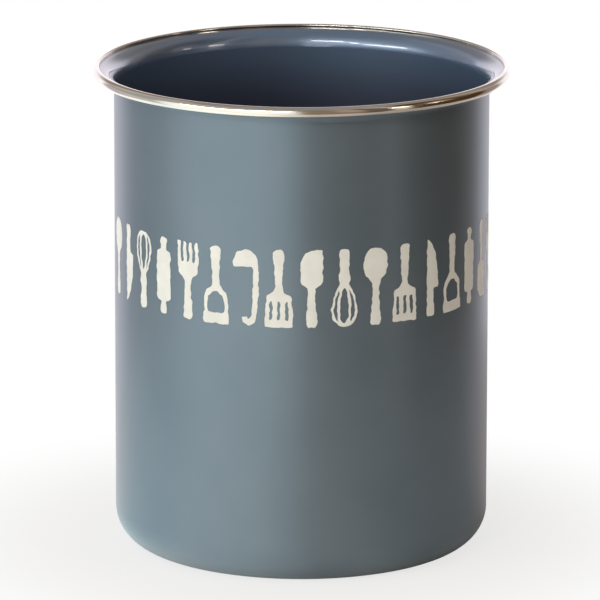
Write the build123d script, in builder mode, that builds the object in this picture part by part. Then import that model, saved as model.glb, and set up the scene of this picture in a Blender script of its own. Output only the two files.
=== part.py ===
from build123d import *
import os

# A utensil holder: a drawn and enamelled steel can, its flared lip held all round in a rolled steel band.
# Millimetres, +Z up, the origin at the centre of the ring that the can stands on.

# The can
height = 152.0
body_diameter = 116.5
sheet = 0.8
base_radius = 11.5

# The floor, pressed up inside the ring that the can stands on
foot_width = 4.8
panel_rise = 1.6
panel_slope = 3.2
panel_fillet = 2.4

# The lip: flared outward to a level edge
flare_radius = 4.3
lip_reach = 1.75

# The rim band: thin sheet rolled to a bead, flat on its inner side, where the lip's edge is pressed in
# through a slot
band_sheet = 0.45
band_gap = 0.05
band_inset = 0.25
band_step = 1.05
band_width = 2.45
band_corner = 0.4
nose_radius = 1.65

# Worked out from the sizes above
body_radius = body_diameter / 2
foot_radius = body_radius - base_radius - foot_width
lip_radius = body_radius + flare_radius + lip_reach
lip_face_z = height - band_step
lip_underside_z = lip_face_z - sheet
slot_z = lip_face_z - sheet / 2
slot_height = sheet + 2 * band_gap
slot_depth = 2 * (band_sheet + band_gap)
band_inner_radius = body_radius + flare_radius + band_inset
nose_centre = (band_inner_radius + band_width - nose_radius, height - nose_radius)

# Body: one skin line from the floor's centre to the lip's edge, given the sheet's thickness
with BuildPart() as body:
    with BuildSketch(Plane.XZ) as body_section:
        with BuildLine() as body_line:
            FilletPolyline(
                (0, panel_rise),
                (foot_radius - panel_slope, panel_rise),
                (foot_radius, 0),
                (body_radius, 0),
                (body_radius, lip_underside_z),
                (lip_radius, lip_underside_z),
                radius=[panel_fillet, panel_fillet, base_radius, flare_radius],
            )
            offset(amount=sheet, side=Side.LEFT)
        make_face()
    revolve(axis=Axis.Z)

# Rim band: a round bead cut flat on its inner side and made hollow, with the lip's slot in the flat side
with BuildPart() as rim_band:
    with BuildSketch(Plane.XZ) as band_section:
        with Locations(nose_centre):
            Circle(nose_radius)
        split(bisect_by=Plane.YZ.offset(band_inner_radius), keep=Keep.TOP)
        inner_corners = band_section.vertices().group_by(Axis.X)[0]
        offset(amount=-band_sheet, mode=Mode.SUBTRACT)
        fillet(inner_corners, band_corner)
        with Locations((band_inner_radius, slot_z)):
            Rectangle(slot_depth, slot_height, mode=Mode.SUBTRACT)
    revolve(axis=Axis.Z)

body.part.label = "body"
rim_band.part.label = "rim_band"

os.makedirs("parts", exist_ok=True)
export_step(body.part, "parts/body.step")
export_step(rim_band.part, "parts/rim_band.step")
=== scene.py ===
import bmesh
import bpy
import math
from mathutils import Matrix, Vector, noise


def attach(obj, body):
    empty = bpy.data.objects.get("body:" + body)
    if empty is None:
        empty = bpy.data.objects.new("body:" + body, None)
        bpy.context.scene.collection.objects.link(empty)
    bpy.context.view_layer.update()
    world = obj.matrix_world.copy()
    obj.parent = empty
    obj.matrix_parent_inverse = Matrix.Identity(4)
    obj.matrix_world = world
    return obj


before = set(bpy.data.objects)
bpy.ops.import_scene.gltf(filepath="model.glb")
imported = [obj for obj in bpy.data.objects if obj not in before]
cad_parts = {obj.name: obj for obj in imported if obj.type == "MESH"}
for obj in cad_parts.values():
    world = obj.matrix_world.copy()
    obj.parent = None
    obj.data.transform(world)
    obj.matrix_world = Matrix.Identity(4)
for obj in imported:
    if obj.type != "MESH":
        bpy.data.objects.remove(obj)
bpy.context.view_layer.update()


# The can: one sheet of steel, drawn to a cup and flared outward at the lip, then enamelled dark slate all
# over. The outside is a slightly pearly satin with a faint orange peel. The inside has flowed out to a
# clear gloss. Its colour is paler under the lip and darker further down, which is painted shade for the
# dark deep in the can.
class Signal:
    """One output of a shader node, which takes part in Python sums as a number."""

    def __init__(self, tree, socket=None):
        self.tree = tree
        self.socket = socket

    def node(self, kind, settings, sockets, output=0):
        """One output of a new node, with its settings made and its inputs fed."""
        made = self.tree.nodes.new(kind)
        for name, value in settings.items():
            if name == "stops":
                ramp = made.color_ramp.elements
                while len(ramp) < len(value):
                    ramp.new(1.0)
                for stop, (place, colour) in zip(ramp, value):
                    stop.position = place
                    stop.color = colour
            else:
                setattr(made, name, value)
        for name, value in sockets.items():
            if isinstance(value, Signal):
                self.tree.links.new(value.socket, made.inputs[name])
            else:
                made.inputs[name].default_value = value
        return Signal(self.tree, made.outputs[output] if made.outputs else None)

    def math(self, operation, *values):
        """A Math node fed with the given values."""
        return self.node("ShaderNodeMath", {"operation": operation}, dict(enumerate(values)))

    def __add__(self, other):
        return self.math("ADD", self, other)

    def __radd__(self, other):
        return self.math("ADD", other, self)

    def __sub__(self, other):
        return self.math("SUBTRACT", self, other)

    def __rsub__(self, other):
        return self.math("SUBTRACT", other, self)

    def __mul__(self, other):
        return self.math("MULTIPLY", self, other)

    def __rmul__(self, other):
        return self.math("MULTIPLY", other, self)

    def __truediv__(self, other):
        return self.math("DIVIDE", self, other)

    def rise(self, low, high):
        """0 below low, 1 above high, with a soft step between."""
        limits = {"Value": self, "From Min": low, "From Max": high}
        return self.node("ShaderNodeMapRange", {"interpolation_type": "SMOOTHSTEP"}, limits)

    def blend(self, first, second):
        """The first colour where this signal is 0 and the second where it is 1."""
        sockets = {0: self, 6: first, 7: second}
        return self.node("ShaderNodeMix", {"data_type": "RGBA"}, sockets, output=2)

    def parts(self):
        """The three parts of a vector."""
        made = self.tree.nodes.new("ShaderNodeSeparateXYZ")
        self.tree.links.new(self.socket, made.inputs[0])
        return [Signal(self.tree, socket) for socket in made.outputs]


def new_material(name):
    material = bpy.data.materials.new(name)
    material.use_nodes = True
    material.node_tree.nodes.clear()
    return material, Signal(material.node_tree)


def finish_material(start, shader):
    start.node("ShaderNodeOutputMaterial", {}, {"Surface": shader})


def wear(piece, material):
    piece.data.materials.clear()
    piece.data.materials.append(material)


outside_colour = (0.133, 0.180, 0.225, 1.0)
outside_pale = (0.145, 0.191, 0.237, 1.0)
# The inside's colour runs from pale under the lip to darker lower down: painted shade for the dark deep in
# the can.
inside_pale = (0.126, 0.192, 0.310, 1.0)
inside_painted_shade = (0.066, 0.080, 0.135, 1.0)
painted_shade_deepest_below = 0.124
painted_shade_ends_above = 0.150
pearl_share = 0.60
satin_roughness = 0.37
satin_spread = 0.06
gloss_roughness = 0.03
gloss_index = 1.65
turning_in = (-0.25, 0.25)
mottle_size = 45.0
mottle_detail = 4.0
mottle_limits = (0.3, 0.7)
peel_size = 900.0
peel_detail = 1.5
peel_depth = 0.0003
peel_strength = 0.05

enamel, start = new_material("slate_enamel")
place = start.node("ShaderNodeTexCoord", {}, {}, output="Object")
x, y, z = place.parts()
radius = x.math("SQRT", x * x + y * y)
normal_x, normal_y, normal_z = start.node("ShaderNodeNewGeometry", {}, {}, output="Normal").parts()
outward = (normal_x * x + normal_y * y) / radius
inside = (normal_z - outward).rise(*turning_in)
mottle = start.node("ShaderNodeTexNoise", {}, {
    "Vector": place,
    "Scale": mottle_size,
    "Detail": mottle_detail,
})
mottled = mottle.rise(*mottle_limits).blend(outside_colour, outside_pale)
peel = start.node("ShaderNodeTexNoise", {}, {
    "Vector": place,
    "Scale": peel_size,
    "Detail": peel_detail,
})
bump = start.node("ShaderNodeBump", {}, {
    "Strength": peel_strength,
    "Distance": peel_depth,
    "Height": peel,
})
# Painted shade: the inside's colour darkens from the lip downwards.
inside_colour_with_painted_shade = z.rise(painted_shade_deepest_below, painted_shade_ends_above).blend(inside_painted_shade, inside_pale)
coat = start.node("ShaderNodeBsdfPrincipled", {}, {
    "Base Color": inside.blend(mottled, inside_colour_with_painted_shade),
    "Metallic": pearl_share,
    "Roughness": satin_roughness + (mottle - 0.5) * satin_spread,
    "Normal": bump,
    "Coat Weight": inside,
    "Coat Roughness": gloss_roughness,
    "Coat IOR": gloss_index,
})
finish_material(start, coat)
wear(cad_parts["body"], enamel)


# The rim band: a strip of bright stainless steel, rolled to a bead with a flat inner side and pressed over
# the lip's edge. Rolling has left faint lines along it, and handling a little haze.
steel_colour = (0.62, 0.59, 0.55, 1.0)
hazed_colour = (0.57, 0.55, 0.52, 1.0)
polished_roughness = 0.08
line_roughness = 0.06
haze_roughness = 0.08
lines_along = 45.0
lines_across = 3600.0
line_detail = 2.0
line_depth = 0.0001
line_strength = 0.04
haze_size = 75.0
haze_detail = 4.0
haze_limits = (0.45, 0.75)

steel, start = new_material("bright_steel")
place = start.node("ShaderNodeTexCoord", {}, {}, output="Object")
x, y, z = place.parts()
radius = x.math("SQRT", x * x + y * y)
drawn_out = start.node("ShaderNodeCombineXYZ", {}, {
    0: x * lines_along,
    1: y * lines_along,
    2: z * lines_across,
})
lines = start.node("ShaderNodeTexNoise", {"noise_dimensions": "4D"}, {
    "Vector": drawn_out,
    "W": radius * lines_across,
    "Scale": 1.0,
    "Detail": line_detail,
})
haze = start.node("ShaderNodeTexNoise", {}, {
    "Vector": place,
    "Scale": haze_size,
    "Detail": haze_detail,
}).rise(*haze_limits)
bump = start.node("ShaderNodeBump", {}, {
    "Strength": line_strength,
    "Distance": line_depth,
    "Height": lines,
})
polish = start.node("ShaderNodeBsdfPrincipled", {}, {
    "Base Color": haze.blend(steel_colour, hazed_colour),
    "Metallic": 1.0,
    "Roughness": polished_roughness + lines * line_roughness + haze * haze_roughness,
    "Normal": bump,
})
finish_material(start, polish)
wear(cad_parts["rim_band"], steel)


# The print: a frieze of kitchen tools, screen-printed round the front of the can in one cream ink and
# fired on. Heads stand up and down by turns. The ink is a thin layer, its edges a little rough.
wall_radius = 0.05825
frieze_middle_z = 0.0944
frieze_centre = math.radians(8.0)
tool_pitch = math.radians(9.9)
ink_sink = 0.00005
ink_thickness = 0.00009
edge_step = 0.45
halvings = 6
softenings = 3
softening = 0.5
edge_seed = 7
edge_wander = 0.40
edge_grain = 0.65
fold_step = 1.0
fold_weld = 0.01
tool_height = 24.2
millimetre = 0.001

# Outlines in millimetres, each with its handle's end at 0 and its head up. The first outline of a tool is
# its edge and the others are its holes. A half outline is the right side.
grip = [(1.1, 0.0), (1.75, 0.8), (1.65, 3.2), (1.15, 8.2)]


def both_sides(half):
    """A whole outline from its right side, listed from the bottom up."""
    return half + [(-x, z) for x, z in reversed(half) if x > 0]


def right_and_left(hole):
    """A hole and its mirror image."""
    return [hole, [(-x, z) for x, z in hole]]


spoon = [both_sides(grip + [(1.1, 12.5), (1.6, 13.8), (3.3, 15.6), (4.1, 18.6), (3.6, 21.8), (2.0, 23.8),
                            (0.0, 24.2)])]
fork = [both_sides(grip + [(1.1, 11.5), (1.8, 13.0), (3.6, 14.4), (3.95, 16.5), (3.9, 24.2),
                           (2.75, 24.2), (2.6, 17.8), (1.7, 17.8), (1.65, 24.2), (0.5, 24.2),
                           (0.45, 17.8)])]
whisk = [both_sides([(1.1, 0.0), (1.7, 0.8), (1.6, 3.2), (1.2, 6.5), (1.8, 8.0), (1.8, 9.6), (1.3, 10.4),
                     (3.0, 14.0), (4.2, 18.2), (3.7, 21.8), (2.0, 23.8), (0.0, 24.2)]),
         both_sides([(0.3, 12.0), (1.2, 15.5), (1.4, 19.0), (1.1, 21.8), (0.3, 23.2)])]
whisk += right_and_left([(1.3, 12.3), (2.6, 15.0), (3.4, 18.4), (3.0, 21.2), (1.9, 22.8), (2.2, 19.2),
                         (1.9, 15.6)])
turner = [both_sides(grip + [(1.1, 12.2), (1.8, 13.4), (3.6, 14.2), (4.0, 15.2), (4.3, 24.2)]),
          both_sides([(0.5, 16.2), (0.5, 22.0)])]
turner += right_and_left([(1.9, 16.2), (2.9, 16.2), (3.0, 22.0), (2.0, 22.0)])
masher = [both_sides([(1.1, 0.0), (1.75, 0.8), (1.65, 3.2), (1.3, 7.5), (1.2, 12.0), (3.6, 14.6),
                      (4.0, 16.4), (4.0, 20.8), (4.4, 21.0), (4.4, 24.2)]),
          both_sides([(0.7, 14.2), (2.7, 16.0), (2.9, 17.4), (2.9, 20.9)])]
rolling_pin = [both_sides([(0.6, 0.0), (1.4, 0.5), (1.5, 1.6), (1.1, 2.6), (1.0, 4.0), (2.6, 4.3),
                           (3.0, 5.0), (3.0, 19.2), (2.6, 19.9), (1.0, 20.2), (1.1, 21.6), (1.5, 22.6),
                           (1.4, 23.7), (0.6, 24.2)])]
ladle = [[(-4.3, 18.4), (-4.0, 21.0), (-2.6, 23.2), (-0.4, 24.1), (1.9, 23.4), (3.4, 21.4),
          (3.9, 18.8), (3.8, 10.2), (3.5, 4.2), (2.7, 1.1), (0.9, 0.0), (-0.9, 0.9), (-1.3, 2.8),
          (0.1, 3.1), (0.5, 2.1), (1.3, 2.2), (1.7, 4.2), (2.0, 11.2), (2.2, 17.6), (1.7, 18.4)]]
knife = [[(-1.5, 0.0), (1.3, 0.0), (1.7, 1.6), (1.3, 4.5), (1.4, 8.6), (3.2, 9.0), (3.3, 12.0),
          (2.9, 16.0), (1.8, 20.0), (0.2, 23.2), (-1.2, 24.2), (-1.5, 20.0), (-1.5, 9.4),
          (-1.3, 4.5)]]
scraper = [[(-1.1, 0.0), (1.1, 0.0), (1.75, 0.8), (1.65, 3.2), (1.15, 8.2), (1.1, 12.4), (2.9, 13.2),
            (3.4, 14.4), (3.4, 24.2), (0.2, 24.2), (-1.9, 23.4), (-3.2, 21.2), (-3.4, 18.4),
            (-3.4, 14.4), (-2.9, 13.2), (-1.1, 12.4), (-1.15, 8.2), (-1.65, 3.2), (-1.75, 0.8)]]
first_run = [spoon, knife, whisk, rolling_pin, fork, masher, ladle, turner, scraper]
second_run = [whisk, spoon, turner, knife, masher, rolling_pin, scraper, fork, ladle]
frieze = first_run + second_run


def add_tool(shape, loops, across, head_down):
    """Lays one tool's outlines flat in the frieze, softens and roughens their edges, and fills them."""
    for loop in loops:
        if head_down:
            loop = [(x, tool_height - z) for x, z in loop]
        corners = [shape.verts.new((x, z, 0.0)) for x, z in loop]
        for corner, following in zip(corners, corners[1:] + corners[:1]):
            shape.edges.new((corner, following))
    for _ in range(halvings):
        edges = [edge for edge in shape.edges if not edge.link_faces]
        long_edges = [edge for edge in edges if edge.calc_length() > edge_step]
        bmesh.ops.subdivide_edges(shape, edges=long_edges, cuts=1)
    edges = [edge for edge in shape.edges if not edge.link_faces]
    verts = [vert for vert in shape.verts if not vert.link_faces]
    for _ in range(softenings):
        bmesh.ops.smooth_vert(shape, verts=verts, factor=softening, use_axis_x=True, use_axis_y=True)
    bmesh.ops.translate(shape, verts=verts, vec=(across, 0.0, 0.0))
    for vert in verts:
        wander = noise.noise_vector(vert.co * edge_grain)
        vert.co += edge_wander * Vector((wander.x, wander.y, 0.0))
    bmesh.ops.triangle_fill(shape, use_beauty=True, edges=edges, normal=(0.0, 0.0, -1.0))


noise.seed_set(edge_seed)
shape = bmesh.new()
wall = wall_radius / millimetre
for index, loops in enumerate(frieze):
    across = (index - (len(frieze) - 1) / 2) * tool_pitch * wall
    add_tool(shape, loops, across, head_down=index % 2 == 1)
# The flat frieze is cut into narrow upright strips, so that it can bend round the wall
half_length = len(frieze) * tool_pitch * wall / 2
folds = int(half_length / fold_step)
for fold in range(-folds, folds + 1):
    everything = shape.verts[:] + shape.edges[:] + shape.faces[:]
    crease = (fold * fold_step, 0.0, 0.0)
    sideways = (1.0, 0.0, 0.0)
    bmesh.ops.bisect_plane(shape, geom=everything, dist=fold_weld, plane_co=crease, plane_no=sideways)
out = wall_radius - ink_sink
for vert in shape.verts:
    angle = frieze_centre + vert.co.x / wall
    height = frieze_middle_z + (vert.co.y - tool_height / 2) * millimetre
    vert.co = (out * math.sin(angle), -out * math.cos(angle), height)
shape.normal_update()
bmesh.ops.solidify(shape, geom=shape.faces[:], thickness=ink_thickness)
frieze_mesh = bpy.data.meshes.new("utensil_print")
shape.to_mesh(frieze_mesh)
shape.free()
utensil_print = bpy.data.objects.new("utensil_print", frieze_mesh)
bpy.context.scene.collection.objects.link(utensil_print)
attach(utensil_print, "root")

ink_colour = (0.745, 0.765, 0.745, 1.0)
ink_thin = (0.700, 0.718, 0.700, 1.0)
ink_roughness = 0.46
ink_sheen = 0.3
cloud_size = 160.0
cloud_detail = 4.0
cloud_limits = (0.35, 0.62)
tooth_size = 1400.0
tooth_detail = 3.0
tooth_depth = 0.0002
tooth_strength = 0.12
tooth_spread = 0.12

ink, start = new_material("cream_ink")
place = start.node("ShaderNodeTexCoord", {}, {}, output="Object")
cloud = start.node("ShaderNodeTexNoise", {}, {
    "Vector": place,
    "Scale": cloud_size,
    "Detail": cloud_detail,
})
tooth = start.node("ShaderNodeTexNoise", {}, {
    "Vector": place,
    "Scale": tooth_size,
    "Detail": tooth_detail,
})
bump = start.node("ShaderNodeBump", {}, {
    "Strength": tooth_strength,
    "Distance": tooth_depth,
    "Height": tooth,
})
cover = start.node("ShaderNodeBsdfPrincipled", {}, {
    "Base Color": cloud.rise(*cloud_limits).blend(ink_thin, ink_colour),
    "Roughness": ink_roughness + (tooth - 0.5) * tooth_spread,
    "Specular IOR Level": ink_sheen,
    "Normal": bump,
})
finish_material(start, cover)
wear(utensil_print, ink)


# The floor: a plain white sheet that shows as white to the camera and keeps the can's soft shadow. In the
# can's gloss it shows a painted glow, lit at the left and shaded at the right.
floor_radius = 0.30
floor_segments = 96
floor_mesh = bpy.data.meshes.new("floor")
shape = bmesh.new()
bmesh.ops.create_circle(shape, cap_ends=True, segments=floor_segments, radius=floor_radius)
shape.to_mesh(floor_mesh)
shape.free()
floor = bpy.data.objects.new("floor", floor_mesh)
bpy.context.scene.collection.objects.link(floor)

sheet_colour = (0.80, 0.80, 0.80, 1.0)
background_white = (1.0, 1.0, 1.0, 1.0)
shadow_share = 0.25
shadow_near = 0.06
shadow_far = 0.15
# Painted contact shadow: where the floor's glow fades out round the can's foot.
painted_contact_shadow_near = 0.046
painted_contact_shadow_far = 0.060
# Painted light and shadow that the floor sends back into the can's gloss, by its azimuth in degrees, with
# the
# front at 0: bright at the left where the light falls, dark at the right where the can's shadow falls
painted_floor_glow = [
    (-180, (0.65, 0.62, 0.65)),
    (-155, (0.95, 0.95, 0.97)),
    (-122, (0.95, 0.95, 0.97)),
    (-98, (0.95, 1.15, 1.15)),
    (-72, (0.95, 1.15, 1.15)),
    (-48, (1.22, 1.27, 1.18)),
    (-17, (1.00, 1.00, 0.90)),
    (7, (0.25, 0.22, 0.18)),
    (23, (0.25, 0.22, 0.18)),
    (47, (0.00, 0.00, 0.00)),
    (98, (0.00, 0.00, 0.00)),
    (122, (0.33, 0.26, 0.27)),
    (155, (0.33, 0.26, 0.27)),
    (180, (0.65, 0.62, 0.65)),
]
sheet, start = new_material("white_sheet")
x, y, _ = start.node("ShaderNodeTexCoord", {}, {}, output="Object").parts()
from_can = x.math("SQRT", x * x + y * y)
side = x.math("ARCTAN2", x, 0.0 - y) * (0.5 / math.pi) + 0.5
seen = start.node("ShaderNodeLightPath", {}, {}, output="Is Camera Ray")
glossed = start.node("ShaderNodeLightPath", {}, {}, output="Is Glossy Ray")
matt = start.node("ShaderNodeBsdfDiffuse", {}, {"Color": sheet_colour})
white = start.node("ShaderNodeEmission", {}, {"Color": background_white, "Strength": 1.0})
share = seen * (1.0 - shadow_share * (1.0 - from_can.rise(shadow_near, shadow_far)))
shown = start.node("ShaderNodeMixShader", {}, {0: share, 1: matt, 2: white})
# Painted light and shadow on the floor, seen only in the can's gloss.
stops = [(angle / 360.0 + 0.5, (*colour, 1.0)) for angle, colour in painted_floor_glow]
painted_gleam = start.node("ShaderNodeValToRGB", {"stops": stops}, {"Fac": side})
# Painted contact shadow: the floor's glow fades out close to the can's foot.
lit = glossed * from_can.rise(painted_contact_shadow_near, painted_contact_shadow_far)
painted_gleam = start.node("ShaderNodeVectorMath", {"operation": "SCALE"}, {0: painted_gleam, "Scale": lit})
painted_gleam = start.node("ShaderNodeEmission", {}, {"Color": painted_gleam, "Strength": 1.0})
finish_material(start, start.node("ShaderNodeAddShader", {}, {0: shown, 1: painted_gleam}))
wear(floor, sheet)


# The light: a tent that is open at the front, with a broad diffuser and rows of tubes at the camera's
# left, a narrow window and a warm lamp at the right, and a white wall behind. The camera itself sees plain
# white all round the object.
world = bpy.data.worlds.new("tent")
world.use_nodes = True
world.node_tree.nodes.clear()
bpy.context.scene.world = world
start = Signal(world.node_tree)
x, y, z = start.node("ShaderNodeTexCoord", {}, {}, output="Generated").parts()
azimuth = x.math("ARCTAN2", x, 0.0 - y) * math.degrees(1.0)
elevation = z.math("ARCSINE", z) * math.degrees(1.0)
past_behind = azimuth.math("WRAP", azimuth, 360.0, 0.0)


def within(direction, limits, soft):
    """1 between two limits and 0 outside them, with soft edges."""
    entering = direction.rise(limits[0] - soft, limits[0] + soft)
    leaving = direction.rise(limits[1] - soft, limits[1] + soft)
    return entering - leaving


def panel(sides, heights, soft, radiance):
    """The light of one panel. Where it goes past 180 degrees, its azimuths count from 0 to 360."""
    direction = past_behind if sides[1] > 180 else azimuth
    cover = within(direction, sides, soft) * within(elevation, heights, soft)
    return start.node("ShaderNodeVectorMath", {"operation": "SCALE"}, {0: radiance, "Scale": cover})


room_colour = (0.09, 0.05, 0.02)
# Each panel's azimuths, with the front at 0, its elevations and its edges' softness, all in degrees, and its
# radiance
panels = [
    # The ceiling
    ((-20, 380), (60, 91), 6, (0.29, 0.34, 0.36)),
    # The diffuser, from its top down
    ((-84, -2), (24, 58), 4, (0.58, 0.58, 0.56)),
    ((-84, -2), (0, 24), 4, (1.29, 1.37, 1.36)),
    ((-84, -2), (-31, 0), 4, (1.53, 1.59, 1.50)),
    ((-84, -2), (-75, -31), 4, (0.57, 0.57, 0.55)),
    # A brighter strip down the diffuser
    ((-34, -15), (-31, 4), 4, (0.14, 0.14, 0.12)),
    # The tent at the left, its upper and lower part
    ((-118, -84), (0, 58), 4, (0.43, 0.47, 0.48)),
    ((-118, -84), (-70, 0), 4, (0.70, 0.73, 0.72)),
    # The tent behind at the left, its upper and lower part
    ((-142, -118), (12, 58), 4, (0.32, 0.32, 0.32)),
    ((-142, -118), (-70, 12), 4, (0.60, 0.59, 0.67)),
    # The white wall behind, and what is over it
    ((138, 222), (-70, 18), 6, (1.36, 1.30, 1.40)),
    ((118, 242), (18, 60), 6, (0.27, 0.25, 0.23)),
    # The open front, and below it
    ((-2, 20), (-31, 58), 4, (0.24, 0.20, 0.16)),
    ((-2, 35), (-75, -31), 4, (0.22, 0.19, 0.17)),
    # The front at the right, its upper and lower part
    ((20, 35), (5, 58), 3, (0.46, 0.36, 0.29)),
    ((20, 35), (-31, 5), 3, (0.26, 0.22, 0.19)),
    # The gap beside the window
    ((35, 52), (-31, 58), 3, (0.08, 0.08, 0.08)),
    # The window and its sill
    ((52, 62), (-19, 63), 2, (0.85, 0.74, 0.62)),
    ((49.5, 65), (-45, -16), 2, (0.34, 0.33, 0.32)),
    # The warm lamp
    ((78, 93), (14, 38), 3, (0.38, 0.31, 0.25)),
    # The tent behind at the right, its upper and lower part
    ((103, 138), (20, 60), 4, (0.18, 0.15, 0.13)),
    ((118, 138), (-70, 20), 4, (0.34, 0.30, 0.30)),
    # The tubes at the left
    ((-28, -6.5), (26, 31), 0.7, (18.5, 17.0, 14.5)),
    ((-37, -31), (21, 26), 0.7, (19.5, 18.0, 15.5)),
    ((-70, -40), (15, 20), 0.7, (14.5, 13.4, 11.5)),
    # The tubes at the right
    ((52, 62), (20, 24), 0.7, (11.0, 9.8, 8.2)),
    ((76, 82), (17, 21), 0.7, (6.0, 5.3, 4.5)),
]
total = room_colour
for sides, heights, soft, radiance in panels:
    light = panel(sides, heights, soft, radiance)
    total = start.node("ShaderNodeVectorMath", {"operation": "ADD"}, {0: total, 1: light})
seen = start.node("ShaderNodeLightPath", {}, {}, output="Is Camera Ray")
shown = seen.blend(total, background_white)
sky = start.node("ShaderNodeBackground", {}, {"Color": shown, "Strength": 1.0})
start.node("ShaderNodeOutputWorld", {}, {"Surface": sky})


# The camera: far off with a long lens, and looking down a little on the rim.
camera_distance = 2.1462
camera_elevation = math.radians(13.728)
camera_roll = math.radians(0.0874)
camera_lens = 412.0
camera_width = 36.0
nearest_seen = 0.05
farthest_seen = 50.0
look_at = Vector((-0.00045, 0.0, 0.0768))
back = Vector((0.0, -math.cos(camera_elevation), math.sin(camera_elevation)))
lens = bpy.data.cameras.new("camera")
lens.lens = camera_lens
lens.sensor_width = camera_width
lens.sensor_fit = "HORIZONTAL"
lens.clip_start = nearest_seen
lens.clip_end = farthest_seen
camera = bpy.data.objects.new("camera", lens)
bpy.context.scene.collection.objects.link(camera)
turn = back.to_track_quat("Z", "Y").to_matrix().to_4x4() @ Matrix.Rotation(camera_roll, 4, "Z")
camera.matrix_world = Matrix.Translation(look_at + back * camera_distance) @ turn
bpy.context.scene.camera = camera
bpy.context.scene.view_settings.view_transform = "Standard"
